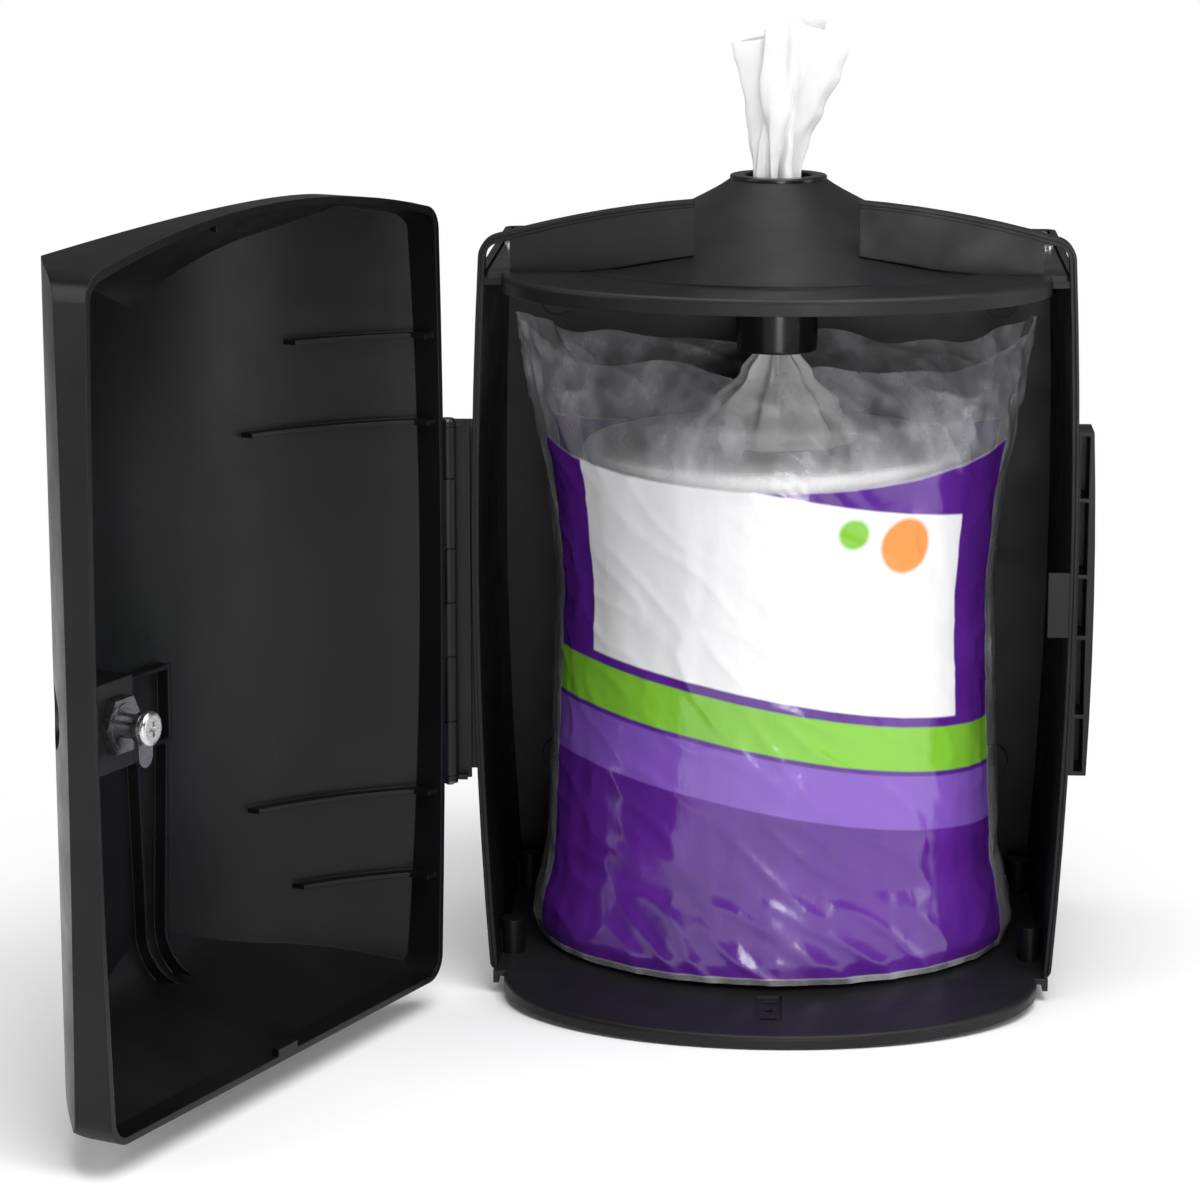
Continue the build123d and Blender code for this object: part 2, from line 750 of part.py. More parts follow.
with BuildPart() as wipe_strand:
    with BuildSketch(Plane.XZ.offset(-roll_y)):
        with BuildLine():
            Line((0, roll_top - roll_core_depth), (roll_core_radius, roll_top - roll_core_depth))
            Line((roll_core_radius, roll_top - roll_core_depth), (roll_core_radius, roll_top))
            Line((roll_core_radius, roll_top), (wipe_cone_radius, roll_top))
            Spline(
                (wipe_cone_radius, roll_top),
                (0.55 * wipe_cone_radius, roll_top + wipe_cone_bend),
                (wipe_neck_radius, roll_top + wipe_cone_height),
                tangents=[(-0.6, 1), (0, 1)],
            )
            Line((wipe_neck_radius, roll_top + wipe_cone_height), (wipe_neck_radius, neck_top))
            Line((wipe_neck_radius, neck_top), (0, neck_top))
            Line((0, neck_top), (0, roll_top - roll_core_depth))
        make_face()
    revolve(axis=Axis((0, roll_y, 0), (0, 0, 1)))
    with BuildSketch(Plane((0, roll_y, neck_top - 6))):
        add(folded_wipe(0.6 * wipe_neck_radius, 0.25 * wipe_neck_radius))
    with BuildSketch(Plane((3, roll_y, neck_top + 0.5 * (wipe_top - neck_top)))):
        add(folded_wipe(20, 7))
    with BuildSketch(Plane((5, roll_y, wipe_top))):
        add(folded_wipe(13, 5))
    loft()

wipe_strand.part.label = "wipe_strand"
export_step(wipe_strand.part, "parts/wipe_strand.step")


# Front door, drawn closed
door_side_y = door_rim_y - door_side_wall
door_front_y = rim_y - door_depth
door_sagitta = door_side_y - door_front_y
door_bow_radius = (door_half_mid**2 + door_sagitta**2) / (2 * door_sagitta)
door_bow_y = door_front_y + door_bow_radius


def door_block(inset):
    """Door filled in, moved in by inset, and run out past the rim when it is a hollow."""
    rear_y = rim_y + 1 if inset else door_rim_y
    wide = door_half_mid + door_spare
    bow = door_bow_radius - inset
    wing_y = door_bow_y - sqrt(bow**2 - wide**2)
    corner_y = door_side_y + inset * tan(atan(door_slope) / 2)
    front_y = door_front_y + inset
    brow = door_slope * (corner_y - front_y)
    past_y = corner_y + door_spare / door_slope
    low = door_bottom + inset
    high = door_arch - inset
    with BuildPart() as block:
        with BuildSketch(Plane.XZ.offset(-rear_y)) as face:
            add(
                outline(
                    door_half_mid - inset,
                    door_half_top - inset,
                    door_half_bottom - inset,
                    door_top - inset,
                    high,
                    low,
                )
            )
            fillet(face.vertices(), door_corner_radius - inset)
        extrude(amount=rear_y - front_y + door_spare)
        # bowed plan and sloping brows, both run past the outline
        with BuildSketch(Plane.XY.offset(-far / 2)):
            with BuildLine():
                Line((-wide, rear_y + 4 * door_spare), (-wide, wing_y))
                ThreePointArc((-wide, wing_y), (0, front_y), (wide, wing_y))
                Line((wide, wing_y), (wide, rear_y + 4 * door_spare))
                Line((wide, rear_y + 4 * door_spare), (-wide, rear_y + 4 * door_spare))
            make_face()
        extrude(amount=far, mode=Mode.INTERSECT)
        with BuildSketch(Plane.YZ.offset(-far / 2)) as side_view:
            with BuildLine():
                Polyline(
                    (past_y, low - door_spare),
                    (front_y, low + brow),
                    (front_y, high - brow),
                    (past_y, high + door_spare),
                    close=True,
                )
            make_face()
            fillet(side_view.vertices().group_by(Axis.X)[0], brow_radius - inset)
            with Locations((past_y + far / 2, (low + high) / 2)):
                Rectangle(far, high - low + 2 * door_spare)
        extrude(amount=far, mode=Mode.INTERSECT)
    return block.part


door_outer = door_block(0)
door_inner = door_block(door_wall)

# ribs and mouldings that stand on the inside of the door
rib_left = -door_half_mid + 0.5 * door_wall
with BuildPart() as door_ribs:
    add(door_block(0.5 * door_wall))
    add(door_block(door_wall + rib_height), mode=Mode.SUBTRACT)
    with BuildSketch(Plane.XZ.offset(-rim_y + 3)):
        for rib_z, reach in (
            (long_rib_z, rib_reach),
            (-long_rib_z, rib_reach),
            (short_rib_z, short_rib_reach),
            (-short_rib_z, short_rib_reach),
        ):
            with Locations((rib_left + reach / 2, rib_z)):
                Rectangle(reach, rib_thickness)
        # square frame on the centre line with a tapering channel below it
        with Locations((0, frame_z)):
            Rectangle(frame_size, 1.2 * frame_size)
            Rectangle(frame_size - 2 * rib_thickness, 1.2 * frame_size - 2 * rib_thickness, mode=Mode.SUBTRACT)
        for side in (-1, 1):
            with BuildLine():
                Polyline(
                    (side * 0.42 * frame_size, frame_z - 0.6 * frame_size),
                    (side * (0.42 * frame_size - rib_thickness), frame_z - 0.6 * frame_size),
                    (side * (0.26 * frame_size - rib_thickness), channel_foot_z),
                    (side * 0.26 * frame_size, channel_foot_z),
                    close=True,
                )
            make_face()
    extrude(amount=door_depth, mode=Mode.INTERSECT)

# block that carries the lock, trimmed to the door's outer face
with BuildPart() as lock_block:
    with BuildSketch(Plane.XZ.offset(housing_depth + lock_block_rear)):
        with Locations((door_half_mid - 0.5 * door_wall - lock_block_width / 2, 0)):
            Rectangle(lock_block_width, 2 * lock_block_half_height)
    extrude(amount=door_depth)
    add(door_outer, mode=Mode.INTERSECT)

lock_centre = Location((lock_x, 0))
with BuildPart() as front_door:
    add(door_outer)
    add(door_inner, mode=Mode.SUBTRACT)
    add(door_ribs.part)
    add(lock_block.part)
    with BuildSketch(Plane.XZ.offset(housing_depth + lock_face)):
        with Locations(lock_centre):
            Circle(lock_well_radius)
    extrude(amount=door_depth, mode=Mode.SUBTRACT)
    with BuildSketch(Plane.XZ.offset(housing_depth)):
        with Locations(lock_centre):
            Circle(barrel_radius + barrel_clearance)
    extrude(amount=door_depth, mode=Mode.SUBTRACT)
    # catch tabs on the rim, top and bottom
    with BuildSketch(Plane.XZ.offset(-door_rim_y)):
        top_tab_z = arch_height(top_tab_x, door_top, door_arch, door_half_top) - 0.5 * door_wall
        with Locations((top_tab_x, top_tab_z - 0.5 * tab_height)):
            Rectangle(tab_width, tab_height)
        with Locations((0, door_bottom + 0.5 * (door_wall + tab_height))):
            Rectangle(1.3 * tab_width, tab_height)
    extrude(amount=tab_depth)
    # knuckles on their webs
    for low, high in door_segments:
        with BuildSketch(Plane.XY.offset(low)):
            with Locations((pin_x, pin_y)):
                Circle(knuckle_radius)
            with Locations(((pin_x - door_half_mid + 0.6 * door_wall) / 2, pin_y)):
                Rectangle(-door_half_mid + 0.6 * door_wall - pin_x, hinge_web)
        extrude(amount=high - low)
    with BuildSketch(Plane.XY.offset(-bracket_half_height)):
        with Locations((pin_x, pin_y)):
            Circle(pin_radius + pin_running_clearance)
    extrude(amount=2 * bracket_half_height, mode=Mode.SUBTRACT)

front_door.part.label = "front_door"
export_step(swing_open(front_door.part), "parts/front_door.step")


# Cam lock
def lock_plane(ahead):
    """Plane across the lock's axis, ahead of the housing rim, with the axis at its centre."""
    return Plane((lock_x, rim_y - ahead, 0), x_dir=(1, 0, 0), z_dir=(0, -1, 0))


with BuildPart() as lock_barrel:
    with BuildSketch(lock_plane(barrel_rear)):
        Circle(barrel_radius)
    extrude(amount=lock_face - barrel_rear)
    with BuildSketch(lock_plane(lock_face)):
        Circle(barrel_flange_radius)
    extrude(amount=barrel_flange)
    fillet(lock_barrel.edges().group_by(Axis.Y)[0], 0.4 * barrel_flange)
    with BuildSketch(lock_plane(barrel_rear)):
        Circle(plug_bore_radius)
    extrude(amount=door_depth, mode=Mode.SUBTRACT)

lock_barrel.part.label = "lock_barrel"
export_step(swing_open(lock_barrel.part), "parts/lock_barrel.step")

with BuildPart() as lock_nut:
    with BuildSketch(lock_plane(lock_block_rear - nut_thickness)):
        RegularPolygon(nut_flats / 2, 6, major_radius=False)
        Circle(barrel_radius, mode=Mode.SUBTRACT)
    extrude(amount=nut_thickness)

lock_nut.part.label = "lock_nut"
export_step(swing_open(lock_nut.part), "parts/lock_nut.step")

plug_front = lock_face + barrel_flange - 0.3
cam_rear = -cam_back - cam_thickness
with BuildPart() as lock_plug:
    with BuildSketch(lock_plane(barrel_rear)):
        Circle(plug_radius)
    extrude(amount=plug_front - barrel_rear)
    with BuildSketch(lock_plane(-cam_back)):
        Circle(post_radius)
    extrude(amount=cam_back + barrel_rear)
    with BuildSketch(lock_plane(cam_rear)):
        Rectangle(post_square, post_square)
    extrude(amount=cam_thickness)
    with BuildSketch(lock_plane(plug_front - 7)):
        Rectangle(1.6, 0.62 * 2 * plug_radius)
    extrude(amount=7, mode=Mode.SUBTRACT)
    with BuildSketch(lock_plane(cam_rear)):
        Circle(cam_screw_radius)
    extrude(amount=cam_screw_length - cam_washer, mode=Mode.SUBTRACT)

lock_plug.part.label = "lock_plug"
export_step(swing_open(lock_plug.part), "parts/lock_plug.step")

with BuildPart() as lock_cam:
    with BuildSketch(lock_plane(cam_rear)) as cam_face:
        Circle(post_radius + 1.4)
        with Locations((0, -0.5 * (cam_length - cam_half_width))):
            Rectangle(2 * cam_half_width, cam_length - cam_half_width)
        with Locations((0, cam_half_width - cam_length)):
            Circle(cam_half_width)
        Rectangle(post_square, post_square, mode=Mode.SUBTRACT)
    extrude(amount=cam_thickness)

lock_cam.part.label = "lock_cam"
export_step(swing_open(lock_cam.part), "parts/lock_cam.step")

with BuildPart() as cam_washer_ring:
    with BuildSketch(lock_plane(cam_rear - cam_washer)):
        Circle(cam_washer_radius)
        Circle(cam_screw_radius, mode=Mode.SUBTRACT)
    extrude(amount=cam_washer)

cam_washer_ring.part.label = "cam_washer"
export_step(swing_open(cam_washer_ring.part), "parts/cam_washer.step")

with BuildPart() as cam_screw:
    with BuildSketch(lock_plane(cam_rear - cam_washer - cam_screw_head)):
        Circle(cam_screw_head_radius)
    extrude(amount=cam_screw_head)
    fillet(cam_screw.edges().group_by(Axis.Y)[-1], 0.6 * cam_screw_head)
    with BuildSketch(lock_plane(cam_rear - cam_washer - cam_screw_head)):
        Rectangle(5.6, 1.2)
        Rectangle(1.2, 5.6)
    extrude(amount=0.5 * cam_screw_head, mode=Mode.SUBTRACT)
    with BuildSketch(lock_plane(cam_rear - cam_washer)):
        Circle(cam_screw_radius)
    extrude(amount=cam_screw_length)

cam_screw.part.label = "cam_screw"
export_step(swing_open(cam_screw.part), "parts/cam_screw.step")
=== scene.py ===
import math

import bmesh
import bpy
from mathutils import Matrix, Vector, noise


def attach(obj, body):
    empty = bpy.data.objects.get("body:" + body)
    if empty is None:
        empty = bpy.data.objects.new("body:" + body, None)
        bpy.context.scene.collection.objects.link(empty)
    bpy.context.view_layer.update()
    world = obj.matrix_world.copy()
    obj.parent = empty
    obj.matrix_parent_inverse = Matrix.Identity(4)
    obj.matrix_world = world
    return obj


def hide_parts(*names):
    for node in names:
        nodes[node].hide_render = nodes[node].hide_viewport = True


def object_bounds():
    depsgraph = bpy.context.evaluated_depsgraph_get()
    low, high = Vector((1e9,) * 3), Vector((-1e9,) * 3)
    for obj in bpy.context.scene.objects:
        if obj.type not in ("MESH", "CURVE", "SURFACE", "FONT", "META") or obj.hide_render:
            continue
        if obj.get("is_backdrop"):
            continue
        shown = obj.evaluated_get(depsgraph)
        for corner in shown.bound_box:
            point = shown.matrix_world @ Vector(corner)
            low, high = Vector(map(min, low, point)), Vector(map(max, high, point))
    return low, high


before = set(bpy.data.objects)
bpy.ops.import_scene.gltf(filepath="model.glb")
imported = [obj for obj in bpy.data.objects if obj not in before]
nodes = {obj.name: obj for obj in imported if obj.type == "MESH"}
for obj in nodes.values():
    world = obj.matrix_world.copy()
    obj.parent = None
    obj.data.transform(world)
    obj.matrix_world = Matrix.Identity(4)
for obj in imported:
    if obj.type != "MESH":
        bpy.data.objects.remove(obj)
sizes = {"atStart": [list(corner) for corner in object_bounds()]}
rollY = -0.0848  # the axis that the roll, the bell and the nozzle share
print("frame loaded")


def addNode(tree, kind, **settings):
    made = tree.nodes.new(kind)
    for key, value in settings.items():
        setattr(made, key, value)
    return made


def setInputs(node, values):
    for key, value in values.items():
        node.inputs[key].default_value = value


def startMaterial(name):
    material = bpy.data.materials.new(name)
    material.use_nodes = True
    tree = material.node_tree
    shader = tree.nodes["Principled BSDF"]
    place = addNode(tree, "ShaderNodeTexCoord")
    return material, tree, shader, place.outputs["Object"]


def noiseAt(tree, spot, scale, detail=2.0, roughness=0.5, stretch=None):
    texture = addNode(tree, "ShaderNodeTexNoise")
    setInputs(texture, {"Scale": scale, "Detail": detail, "Roughness": roughness})
    if stretch:
        mapping = addNode(tree, "ShaderNodeMapping")
        mapping.inputs["Scale"].default_value = stretch
        tree.links.new(spot, mapping.inputs["Vector"])
        spot = mapping.outputs["Vector"]
    tree.links.new(spot, texture.inputs["Vector"])
    return texture.outputs["Fac"]


def mapValue(tree, value, fromLow, fromHigh, toLow=0.0, toHigh=1.0, smooth=False):
    kind = "SMOOTHSTEP" if smooth else "LINEAR"
    ranged = addNode(tree, "ShaderNodeMapRange", interpolation_type=kind)
    setInputs(ranged, {
        "From Min": fromLow, "From Max": fromHigh, "To Min": toLow, "To Max": toHigh,
    })
    tree.links.new(value, ranged.inputs["Value"])
    return ranged.outputs["Result"]


def mathNode(tree, operation, first, second=None):
    made = addNode(tree, "ShaderNodeMath", operation=operation)
    for index, value in enumerate((first, second)):
        if value is None:
            continue
        if isinstance(value, (int, float)):
            made.inputs[index].default_value = value
        else:
            tree.links.new(value, made.inputs[index])
    return made.outputs["Value"]


def mixColour(tree, factor, first, second):
    made = addNode(tree, "ShaderNodeMix", data_type="RGBA")
    sockets = (made.inputs[0], made.inputs[6], made.inputs[7])  # factor and the two colours
    for value, socket in zip((factor, first, second), sockets):
        if isinstance(value, tuple):
            socket.default_value = (*value, 1)
        else:
            tree.links.new(value, socket)
    return made.outputs[2]


def tintBy(tree, shader, value, span, dark, light):
    tint = mixColour(tree, mapValue(tree, value, *span), dark, light)
    tree.links.new(tint, shader.inputs["Base Color"])


def addBump(tree, shader, heights, edge=0.0):
    last = None
    if edge:
        rounded = addNode(tree, "ShaderNodeBevel", samples=4)
        rounded.inputs["Radius"].default_value = edge
        last = rounded.outputs["Normal"]
    for height, strength, distance in heights:
        bump = addNode(tree, "ShaderNodeBump")
        setInputs(bump, {"Strength": strength, "Distance": distance})
        tree.links.new(height, bump.inputs["Height"])
        if last:
            tree.links.new(last, bump.inputs["Normal"])
        last = bump.outputs["Normal"]
    tree.links.new(last, shader.inputs["Normal"])


def mixShaders(tree, share, first, second, output):
    blend = addNode(tree, "ShaderNodeMixShader")
    tree.links.new(share, blend.inputs["Fac"])
    tree.links.new(first, blend.inputs[1])
    tree.links.new(second, blend.inputs[2])
    tree.links.new(blend.outputs["Shader"], tree.nodes[output].inputs["Surface"])


def ramp(value, start, span):
    return max(0.0, min(1.0, (value - start) / span))


# what all moulded plastics share: cloudy tint, mottled gloss, slight waves, soft edges
moulded = {
    "cloud": 14.0, "cloudSpan": (0.35, 0.65), "mottle": 60.0, "mottleSpan": (0.3, 0.7),
    "grainStrength": 0.35, "wave": 9.0, "waveStrength": 0.15, "waveDepth": 0.0012,
    "edge": 0.0007, "specular": 0.2, "coatRoughness": 0.2,
}


def plastic(name, look):
    material, tree, shader, spot = startMaterial(name)
    cloud = noiseAt(tree, spot, moulded["cloud"], 3.0)
    tintBy(tree, shader, cloud, moulded["cloudSpan"], look["dark"], look["light"])
    mottle = noiseAt(tree, spot, moulded["mottle"], 4.0)
    rough = mapValue(tree, mottle, *moulded["mottleSpan"], *look["rough"])
    tree.links.new(rough, shader.inputs["Roughness"])
    addBump(tree, shader, [
        (noiseAt(tree, spot, look["grain"]), moulded["grainStrength"], look["grainDepth"]),
        (noiseAt(tree, spot, moulded["wave"], 1.0), moulded["waveStrength"], moulded["waveDepth"]),
    ], moulded["edge"])
    shader.inputs["Specular IOR Level"].default_value = moulded["specular"]
    shader.inputs["Coat Weight"].default_value = look["coat"]
    shader.inputs["Coat Roughness"].default_value = moulded["coatRoughness"]
    return material


# what all metals share: fine streaks along Z in tint and gloss
brushed = {"span": (0.3, 0.7), "stretch": (1.0, 1.0, 6.0), "strength": 0.2, "depth": 0.00006}


def metal(name, look):
    material, tree, shader, spot = startMaterial(name)
    streaks = noiseAt(tree, spot, look["brush"], 3.0, 0.6, brushed["stretch"])
    tintBy(tree, shader, streaks, brushed["span"], look["dark"], look["light"])
    rough = mapValue(tree, streaks, *brushed["span"], *look["rough"])
    tree.links.new(rough, shader.inputs["Roughness"])
    addBump(tree, shader, [(streaks, brushed["strength"], brushed["depth"])])
    shader.inputs["Metallic"].default_value = 1.0
    return material


def dress(name, material):
    piece = nodes[name]
    piece.data.materials.clear()
    piece.data.materials.append(material)


housing = {
    "dark": (0.0028, 0.0028, 0.0032), "light": (0.0052, 0.0052, 0.0058),
    "rough": (0.3, 0.42), "grain": 1500.0, "grainDepth": 0.00004, "coat": 0.0,
}
housingBlack = plastic("housingBlack", housing)
dress("rear_housing", housingBlack)
dress("hinge_bracket", housingBlack)

door = {
    "dark": (0.003, 0.003, 0.0034), "light": (0.0056, 0.0056, 0.0062),
    "rough": (0.27, 0.38), "grain": 1500.0, "grainDepth": 0.00004, "coat": 0.0,
}
dress("front_door", plastic("doorBlack", door))

hood = {
    "dark": (0.009, 0.009, 0.0098), "light": (0.014, 0.014, 0.0152),
    "rough": (0.36, 0.48), "grain": 2400.0, "grainDepth": 0.00008, "coat": 0.0,
}
hoodBlack = plastic("hoodBlack", hood)
dress("top_hood", hoodBlack)
dress("base_tray", hoodBlack)

nozzle = {
    "dark": (0.006, 0.006, 0.0066), "light": (0.009, 0.009, 0.01),
    "rough": (0.2, 0.3), "grain": 1500.0, "grainDepth": 0.00003, "coat": 0.2,
}
nozzleBlack = plastic("nozzleBlack", nozzle)
dress("nozzle_tube", nozzleBlack)
dress("nozzle_ring", nozzleBlack)

screw = {
    "dark": (0.42, 0.42, 0.43), "light": (0.66, 0.66, 0.67), "rough": (0.2, 0.36), "brush": 500.0,
}
screwSteel = metal("screwSteel", screw)
for name in ("hood_screws", "tray_screws", "cam_washer", "cam_screw"):
    dress(name, screwSteel)

pin = {
    "dark": (0.05, 0.05, 0.052), "light": (0.09, 0.09, 0.093), "rough": (0.25, 0.4), "brush": 400.0,
}
pinSteel = metal("pinSteel", pin)
dress("hinge_pin", pinSteel)
dress("pin_clip", pinSteel)

lock = {
    "dark": (0.12, 0.12, 0.125), "light": (0.22, 0.22, 0.225), "rough": (0.25, 0.42), "brush": 420.0,
}
lockMetal = metal("lockMetal", lock)
for name in ("lock_barrel", "lock_nut", "lock_plug"):
    dress(name, lockMetal)
dress("lock_cam", lockMetal)
print("plastics and metals done")


# faces over rows of points, with an optional flat map in metres
def gridObject(name, rows, closed, material, uvs=None):
    mesh = bmesh.new()
    layer = mesh.loops.layers.uv.new("flat")
    grid = [[mesh.verts.new(point) for point in row] for row in rows]
    count = len(rows[0])
    last = count if closed else count - 1
    for i in range(len(rows) - 1):
        for j in range(last):
            k = (j + 1) % count
            face = mesh.faces.new((grid[i][j], grid[i][k], grid[i + 1][k], grid[i + 1][j]))
            face.smooth = True
            if uvs:
                corners = ((i, j), (i, j + 1), (i + 1, j + 1), (i + 1, j))
                for loop, (a, b) in zip(face.loops, corners):
                    loop[layer].uv = uvs(a, b)
    mesh.normal_update()
    data = bpy.data.meshes.new(name)
    mesh.to_mesh(data)
    mesh.free()
    data.materials.append(material)
    piece = bpy.data.objects.new(name, data)
    bpy.context.scene.collection.objects.link(piece)
    return piece


# web on each side between the arched rim and the hood below it
web = {
    "front": -0.1478, "back": -0.1448, "inner": 0.0322, "outer": 0.1035,
    "steps": 40, "wall": 0.0016, "sunk": 0.0008,
}
arch = {"half": 0.1155, "corner": 0.143, "top": 0.160}
bellProfile = [(0.033, 0.1530), (0.050, 0.1444), (0.070, 0.1373), (0.085, 0.1332), (0.100, 0.1310)]


def archHeight(x):
    rise = arch["top"] - arch["corner"]
    radius = (arch["half"] ** 2 + rise ** 2) / (2 * rise)
    return arch["top"] - radius + math.sqrt(radius ** 2 - x * x)


def bellHeight(radius):
    for (r0, z0), (r1, z1) in zip(bellProfile, bellProfile[1:]):
        if radius <= r1:
            return z0 + (z1 - z0) * (radius - r0) / (r1 - r0)
    return bellProfile[-1][1]


for side, word in ((-1, "left"), (1, "right")):
    webRows = []
    for i in range(web["steps"] + 1):
        x = web["inner"] + (web["outer"] - web["inner"]) * i / web["steps"]
        top = archHeight(x) - web["wall"]
        low = bellHeight(math.hypot(x, web["back"] - rollY)) - web["sunk"]
        corners = ((web["front"], low), (web["front"], top), (web["back"], top), (web["back"], low))
        webRows.append([Vector((side * x, y, z)) for y, z in corners])
    webPiece = gridObject(f"rim_web_{word}", webRows, True, housingBlack)
    for face in webPiece.data.polygons:
        face.use_smooth = False
    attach(webPiece, "case")
print("rim webs done")

# nonwoven of the wipes, with wound layers on the roll's ends
fabric = {
    "wipeTone": (0.78, 0.78, 0.775), "rollTone": (0.84, 0.84, 0.83), "shade": 0.93,
    "fibres": 900.0, "fibreDepth": 0.00012, "blotches": 45.0, "blotchDepth": 0.0006,
    "layers": 95.0, "layerDepth": 0.0005, "rough": 0.85, "inside": 0.12, "sheen": 0.15,
}


def fabricMaterial(name, tone, layers):
    material, tree, shader, spot = startMaterial(name)
    fibres = noiseAt(tree, spot, fabric["fibres"], 6.0, 0.65)
    blotch = noiseAt(tree, spot, fabric["blotches"], 3.0)
    shaded = tuple(share * fabric["shade"] for share in tone)
    tintBy(tree, shader, blotch, (0.35, 0.65), shaded, tone)
    heights = [(fibres, 0.4, fabric["fibreDepth"]), (blotch, 0.3, fabric["blotchDepth"])]
    if layers:
        rings = addNode(tree, "ShaderNodeTexWave", wave_type="RINGS", rings_direction="Z")
        setInputs(rings, {"Scale": fabric["layers"], "Distortion": 2.0, "Detail": 2.0})
        centred = addNode(tree, "ShaderNodeMapping")
        centred.inputs["Location"].default_value = (0.0, -rollY, 0.0)
        tree.links.new(spot, centred.inputs["Vector"])
        tree.links.new(centred.outputs["Vector"], rings.inputs["Vector"])
        heights.append((rings.outputs["Fac"], 0.35, fabric["layerDepth"]))
    addBump(tree, shader, heights)
    shader.inputs["Roughness"].default_value = fabric["rough"]
    shader.inputs["Subsurface Weight"].default_value = fabric["inside"]
    shader.inputs["Subsurface Radius"].default_value = (0.003, 0.003, 0.003)
    shader.inputs["Sheen Weight"].default_value = fabric["sheen"]
    return material


wipeWhite = fabricMaterial("wipeWhite", fabric["wipeTone"], False)
dress("wipes_roll", fabricMaterial("rollWhite", fabric["rollTone"], True))

# wipe pulled from the roll's core, gathered through the nozzle, standing folded above it
wipe = {
    "width": 0.194, "low": -0.002, "high": 0.2255, "rows": 150, "across": 420,
    "folds": 8, "tailFolds": 4, "foldSharp": 0.8, "deepest": 0.93, "tries": 14,
    "firstAngle": 0.25, "gap": 0.3, "looseFrom": 0.160, "looseOver": 0.028,
    "hemFrom": 0.19, "hemOver": 0.036, "hemDrop": -0.0065, "hemWave": 0.008, "ripple": 0.0016,
}
# height, half width, half depth and shift to the right
wipeShape = [
    (-0.002, 0.0150, 0.0150, 0.0),
    (0.0520, 0.0190, 0.0190, 0.0),
    (0.0545, 0.0330, 0.0330, 0.0),
    (0.0600, 0.0325, 0.0320, 0.0),
    (0.0700, 0.0255, 0.0250, 0.0),
    (0.0820, 0.0150, 0.0150, 0.0),
    (0.0920, 0.0085, 0.0085, 0.0),
    (0.1550, 0.0090, 0.0080, 0.0),
    (0.1640, 0.0100, 0.0076, -0.0005),
    (0.1760, 0.0130, 0.0080, 0.0002),
    (0.1880, 0.0165, 0.0085, 0.0020),
    (0.2040, 0.0215, 0.0090, 0.0040),
    (0.2160, 0.0240, 0.0090, 0.0048),
    (0.2255, 0.0245, 0.0085, 0.0045),
]


def shapeAt(z):
    for (z0, *low), (z1, *high) in zip(wipeShape, wipeShape[1:]):
        if z <= z1:
            t = (z - z0) / (z1 - z0)
            t = t * t * (3 - 2 * t)
            return [a + (b - a) * t for a, b in zip(low, high)]
    return list(wipeShape[-1][1:])


def wipeRow(z, depth):
    halfX, halfY, shift = shapeAt(z)
    loose = ramp(z, wipe["looseFrom"], wipe["looseOver"])
    points = []
    for j in range(wipe["across"] + 1):
        share = j / wipe["across"]
        angle = wipe["firstAngle"] + share * (2 * math.pi - wipe["gap"])
        wander = noise.noise(Vector((3.1 * math.cos(angle), 3.1 * math.sin(angle), z * 30.0)))
        tight = math.cos(wipe["folds"] * angle + 2.2 * wander + 9.0 * z)
        broad = math.cos(wipe["tailFolds"] * angle + 1.6 * wander + 4.0 * z + 0.7)
        crisp = math.copysign(abs(tight) ** wipe["foldSharp"], tight)
        fold = (1 - loose) * crisp + loose * broad
        uneven = 0.75 + 0.5 * noise.noise(Vector((share * 7.0, z * 22.0, 4.0)))
        reach = 1 - depth * (0.5 - 0.5 * fold) * uneven
        points.append(Vector((
            shift + halfX * reach * math.cos(angle),
            rollY + halfY * reach * math.sin(angle),
            z,
        )))
    return points


def rowLength(points):
    return sum((b - a).length for a, b in zip(points, points[1:]))


# folds deepen row by row until each row holds the wipe's width, or is as deep as it goes
wipeRows = []
for i in range(wipe["rows"] + 1):
    z = wipe["low"] + (wipe["high"] - wipe["low"]) * i / wipe["rows"]
    low, high = 0.0, wipe["deepest"]
    for attempt in range(wipe["tries"]):
        middle = (low + high) / 2
        if rowLength(wipeRow(z, middle)) < wipe["width"]:
            low = middle
        else:
            high = middle
    row = wipeRow(z, low)
    hem = ramp(z, wipe["hemFrom"], wipe["hemOver"])
    for j, point in enumerate(row):
        share = j / wipe["across"]
        edge = math.sin(share * math.pi * 3 + 0.6) * 0.5 + math.sin(share * math.pi * 8) * 0.16
        point.z += hem * hem * (wipe["hemDrop"] + wipe["hemWave"] * edge)
        point.x += wipe["ripple"] * noise.noise(point * 60.0) * min(1.0, hem + 0.2)
    wipeRows.append(row)
wipeSheet = gridObject("wipe_sheet", wipeRows, False, wipeWhite)
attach(wipeSheet, "case")
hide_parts("wipe_strand")

# film bag round the roll, open at the top
bag = {
    "low": -0.1515, "high": 0.1016, "round": 0.54, "rows": 190, "around": 420,
    "rollClear": 0.0792, "rollTop": 0.0538, "backLimit": 0.0812, "slack": 0.25, "stand": 0.0004,
    "topLooseFrom": 0.045, "topLooseOver": 0.04, "footLooseFrom": 0.115, "footLooseOver": 0.02,
    "mouthFrom": 0.06, "mouthOver": 0.0416, "mouthRise": 0.004, "mouthDrop": 0.006, "mouthDip": 0.012,
    "wrinkle": 55.0, "wrinkleDepth": 0.0014, "crease": 26.0, "creaseDepth": 0.003,
    "clear": (0.14, 0.55), "rough": (0.12, 0.24), "coat": 0.4, "coatRoughness": 0.08,
}
